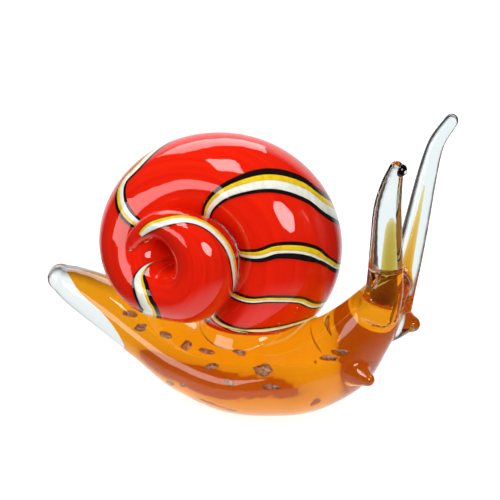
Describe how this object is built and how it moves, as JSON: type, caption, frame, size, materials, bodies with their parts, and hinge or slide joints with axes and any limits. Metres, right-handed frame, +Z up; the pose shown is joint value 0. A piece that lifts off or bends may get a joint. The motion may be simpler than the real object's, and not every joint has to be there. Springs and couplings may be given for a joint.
{
  "type": "glass snail figurine",
  "caption": "Solid glass snail ornament: a striped red coil cased in clear glass stands on an amber body with a raised tail, tall tentacles with bead eyes, and a flat foot.",
  "frame": {"origin": "on the ground, in the middle plane of the body, inside the flat patch that the foot rests on", "axes": "+X forward to the head, +Y to the snail's left, +Z up"},
  "size_m": [0.176, 0.0738, 0.1268],
  "materials": {
    "clear_glass": "fire-polished clear",
    "amber_glass": "fire-polished transparent amber",
    "red_glass": "opaque, glossy",
    "black_glass": "opaque, glossy",
    "white_glass": "opaque, glossy",
    "yellow_glass": "opaque, glossy",
    "mica": "pearly flakes"
  },
  "bodies": {
    "root": {"body_amber_core": "amber_glass", "body_clear_casing": "clear_glass", "mica_flakes": "mica", "right_tentacle_casing": "clear_glass", "left_tentacle_casing": "clear_glass", "right_tentacle_core": "amber_glass", "left_tentacle_core": "amber_glass", "right_eye_bead": "black_glass", "left_eye_bead": "black_glass", "right_eye_pupil": "white_glass", "left_eye_pupil": "white_glass", "right_feeler": "clear_glass", "left_feeler": "clear_glass", "shell_red_core": "red_glass", "shell_clear_casing": "clear_glass", "trail_black_front": "black_glass", "trail_white": "white_glass", "trail_yellow": "yellow_glass", "trail_black_back": "black_glass", "shell_seal": "clear_glass"}
  },
  "joints": []
}
